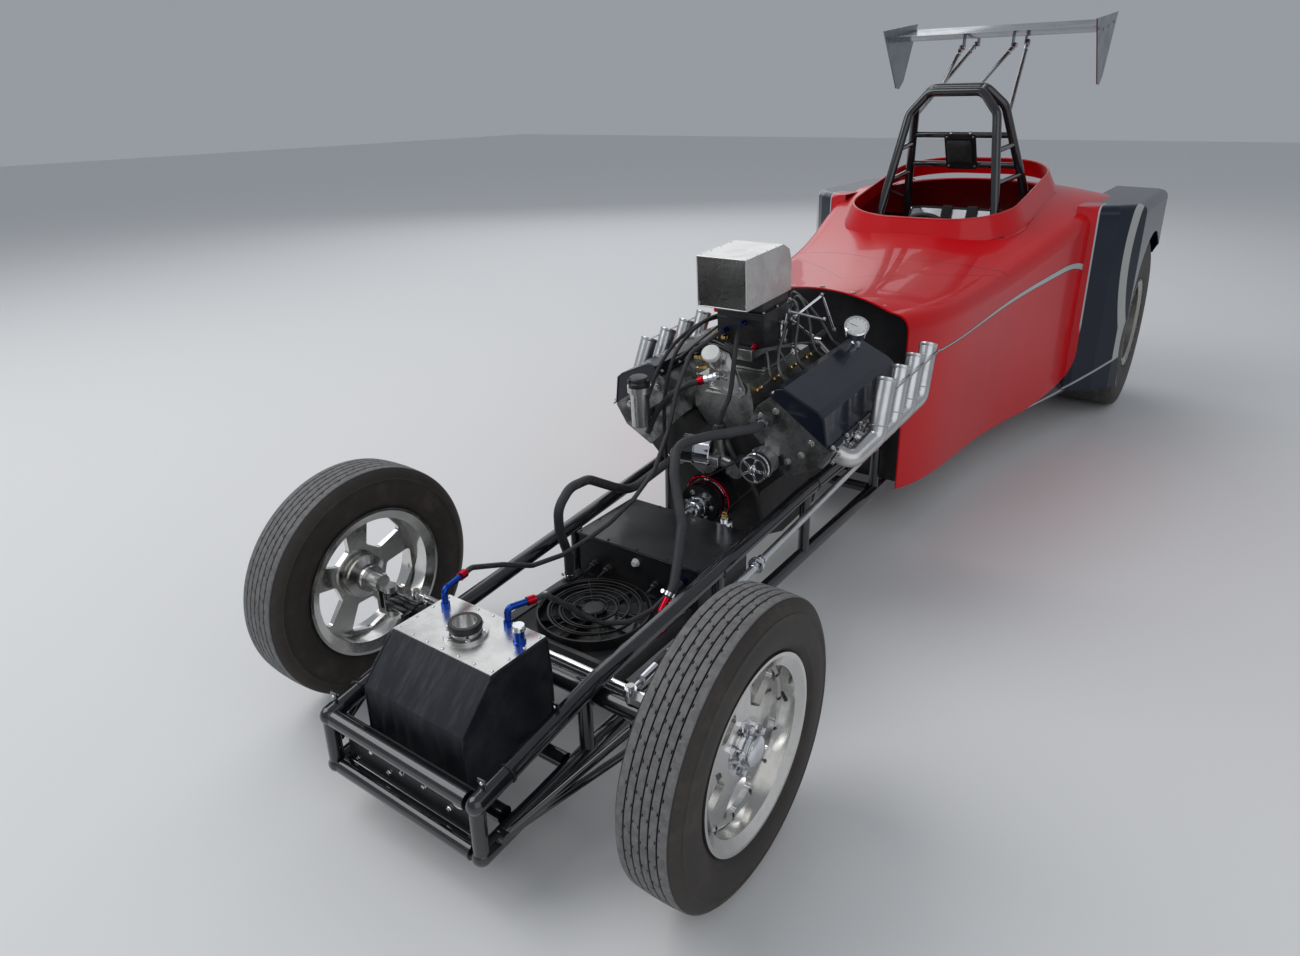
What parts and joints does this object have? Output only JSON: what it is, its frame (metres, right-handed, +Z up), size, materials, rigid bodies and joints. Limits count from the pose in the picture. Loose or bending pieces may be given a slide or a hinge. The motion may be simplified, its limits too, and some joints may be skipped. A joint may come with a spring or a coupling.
{
  "type": "drag racing car",
  "caption": "Front-engined open drag racing car with a tube frame, roadster body, roll cage, rear wing, steered front wheels and turning rear wheels.",
  "frame": {"origin": "ground level under the centre of the car's overall length and width", "axes": "+Z up, +Y towards the car's rear, +X towards the car's left side"},
  "size_m": [1.636, 4.6449, 1.928],
  "materials": {
    "frame_black": "gloss",
    "axle_black": "gloss",
    "tyre_rubber": "dusty",
    "rim_aluminium": "polished",
    "rear_rim_aluminium": "satin",
    "chrome_steel": "polished",
    "head_aluminium": "cast",
    "cover_paint": "satin",
    "header_steel": "matt",
    "block_iron": "painted",
    "case_aluminium": "cast",
    "scoop_aluminium": "polished",
    "tank_black": "satin",
    "bare_sheet": "polished",
    "black_plastic": "matt",
    "body_red": "gloss",
    "fender_dark": "gloss",
    "sheet_black": "satin",
    "seat_sheet": "satin",
    "pad_black": "matt",
    "grip_black": "matt",
    "wing_sheet": "polished",
    "endplate_grey": "satin",
    "zinc_steel": "satin",
    "blue_anodised": "anodised",
    "red_anodised": "anodised",
    "hose_black": "matt"
  },
  "bodies": {
    "chassis": {"frame_left": "frame_black", "frame_right": "frame_black", "frame_cross_bars": "frame_black", "front_axle": "axle_black", "radius_rods": "axle_black", "cylinder_heads": "head_aluminium", "valve_covers": "cover_paint", "headers": "header_steel", "steering_box": "case_aluminium", "fuel_tank": "tank_black", "tank_top": "bare_sheet", "front_panel": "sheet_black", "radiator": "sheet_black", "fan_guard": "black_plastic", "electronics_box": "sheet_black", "engine_block": "block_iron", "intake_manifold": "case_aluminium", "throttle_body": "sheet_black", "scoop": "scoop_aluminium", "water_pump": "case_aluminium", "crank_drum": "sheet_black", "alternator": "case_aluminium", "magneto": "black_plastic", "gearbox": "case_aluminium", "motor_plate": "bare_sheet", "rear_axle": "axle_black", "body_shell": "body_red", "rear_fenders": "fender_dark", "wheel_tubs": "sheet_black", "firewall": "sheet_black", "floor_pan": "sheet_black", "seat": "seat_sheet", "roll_cage": "frame_black", "headrest": "pad_black", "steering_column": "zinc_steel", "steering_shaft": "zinc_steel", "wing_blade": "wing_sheet", "wing_endplates": "endplate_grey", "wing_struts": "zinc_steel", "coolant_can": "zinc_steel", "fuel_regulator": "chrome_steel", "blue_fittings": "blue_anodised", "red_fittings": "red_anodised", "hoses": "hose_black"},
    "knuckle_left": {"knuckle_left": "zinc_steel"},
    "knuckle_right": {"knuckle_right": "zinc_steel"},
    "tie_rod": {"tie_rod": "chrome_steel"},
    "drag_link": {"drag_link": "chrome_steel"},
    "pitman_arm": {"pitman_arm": "zinc_steel"},
    "steering_wheel": {"steering_wheel": "grip_black"},
    "front_wheel_left": {"front_tyre_left": "tyre_rubber", "front_rim_left": "rim_aluminium"},
    "front_wheel_right": {"front_tyre_right": "tyre_rubber", "front_rim_right": "rim_aluminium"},
    "rear_wheel_left": {"rear_tyre_left": "tyre_rubber", "rear_rim_left": "rear_rim_aluminium"},
    "rear_wheel_right": {"rear_tyre_right": "tyre_rubber", "rear_rim_right": "rear_rim_aluminium"},
    "fan": {"fan_blades": "black_plastic"}
  },
  "joints": [
    {"name": "steer_left", "type": "hinge", "parent": "chassis", "child": "knuckle_left", "pos_m": [0.492, -1.9155, 0.2883], "axis": [0, 0, 1], "range_deg": [-18, 18]},
    {"name": "steer_right", "type": "hinge", "parent": "chassis", "child": "knuckle_right", "pos_m": [-0.492, -1.9155, 0.2883], "axis": [0, 0, 1], "range_deg": [-18, 18]},
    {"name": "tie_rod_pivot", "type": "hinge", "parent": "knuckle_left", "child": "tie_rod", "pos_m": [0.492, -1.8305, 0.2621], "axis": [0, 0, 1], "range_deg": [-18, 18]},
    {"name": "drag_link_pivot", "type": "hinge", "parent": "knuckle_left", "child": "drag_link", "pos_m": [0.342, -1.9155, 0.3419], "axis": [0, 0, 1], "range_deg": [-18, 18]},
    {"name": "pitman_turn", "type": "hinge", "parent": "chassis", "child": "pitman_arm", "pos_m": [0.293, -0.4155, 0.534], "axis": [1, 0, 0], "range_deg": [-22, 22]},
    {"name": "steering_wheel_turn", "type": "hinge", "parent": "chassis", "child": "steering_wheel", "pos_m": [0, 0.8245, 0.93], "axis": [0, 0.9839, 0.1786], "range_deg": [-108, 108]},
    {"name": "front_wheel_left_turn", "type": "hinge", "parent": "knuckle_left", "child": "front_wheel_left", "pos_m": [0.605, -1.9155, 0.33], "axis": [1, 0, 0], "continuous": true},
    {"name": "rear_wheel_left_turn", "type": "hinge", "parent": "chassis", "child": "rear_wheel_left", "pos_m": [0.618, 1.8845, 0.438], "axis": [1, 0, 0], "continuous": true},
    {"name": "front_wheel_right_turn", "type": "hinge", "parent": "knuckle_right", "child": "front_wheel_right", "pos_m": [-0.605, -1.9155, 0.33], "axis": [1, 0, 0], "continuous": true},
    {"name": "rear_wheel_right_turn", "type": "hinge", "parent": "chassis", "child": "rear_wheel_right", "pos_m": [-0.618, 1.8845, 0.438], "axis": [1, 0, 0], "continuous": true},
    {"name": "fan_turn", "type": "hinge", "parent": "chassis", "child": "fan", "pos_m": [0, -1.6265, 0.266], "axis": [0, 0, 1], "continuous": true}
  ],
  "couplings": [
    {"joint": "steer_right", "follows": "steer_left", "ratio": 1},
    {"joint": "tie_rod_pivot", "follows": "steer_left", "ratio": -1},
    {"joint": "drag_link_pivot", "follows": "steer_left", "ratio": -1},
    {"joint": "pitman_turn", "follows": "steer_left", "ratio": -1.21},
    {"joint": "steering_wheel_turn", "follows": "steer_left", "ratio": 6}
  ]
}
